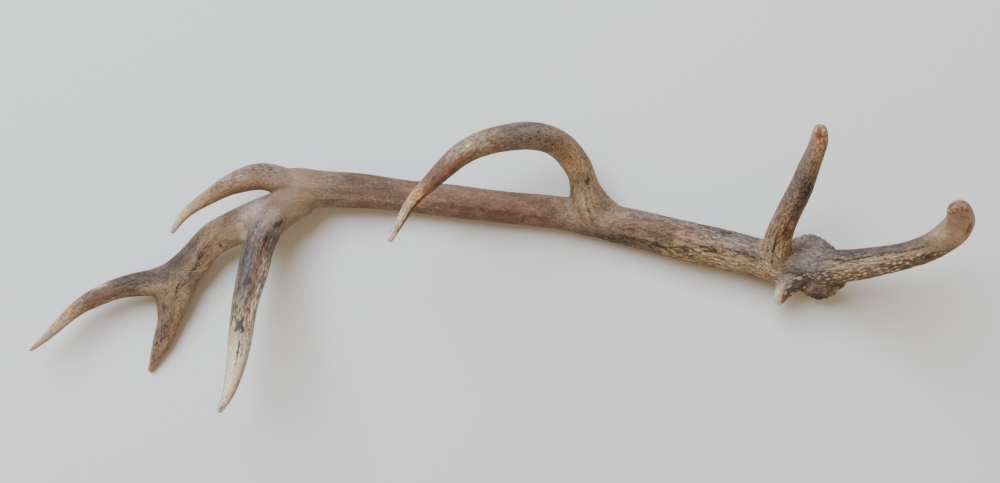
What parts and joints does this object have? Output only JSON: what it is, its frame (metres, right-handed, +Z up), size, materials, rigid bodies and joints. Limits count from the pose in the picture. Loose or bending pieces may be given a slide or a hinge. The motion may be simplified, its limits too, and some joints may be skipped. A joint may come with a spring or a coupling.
{
  "type": "deer antler",
  "caption": "Cast red deer antler lying on its side: a curved beam with its burr, brow, bez and trez tines, and a branching crown.",
  "frame": {"origin": "on the surface that the antler lies on, under the middle of its box", "axes": "+X from the crown towards the burr, +Y towards the bez and trez tines, +Z up from the surface"},
  "size_m": [0.923, 0.2821, 0.2125],
  "materials": {
    "beam_bone": "matte",
    "pearled_bone": "matte",
    "tine_bone": "matte",
    "ivory_bone": "satin"
  },
  "bodies": {
    "root": {"main_beam": "beam_bone", "brow_tine": "pearled_bone", "bez_tine": "tine_bone", "trez_tine": "tine_bone", "crown_front_tine": "tine_bone", "crown_inner_tine": "ivory_bone", "crown_rear_branch": "beam_bone", "crown_rear_snag": "beam_bone"}
  },
  "joints": []
}
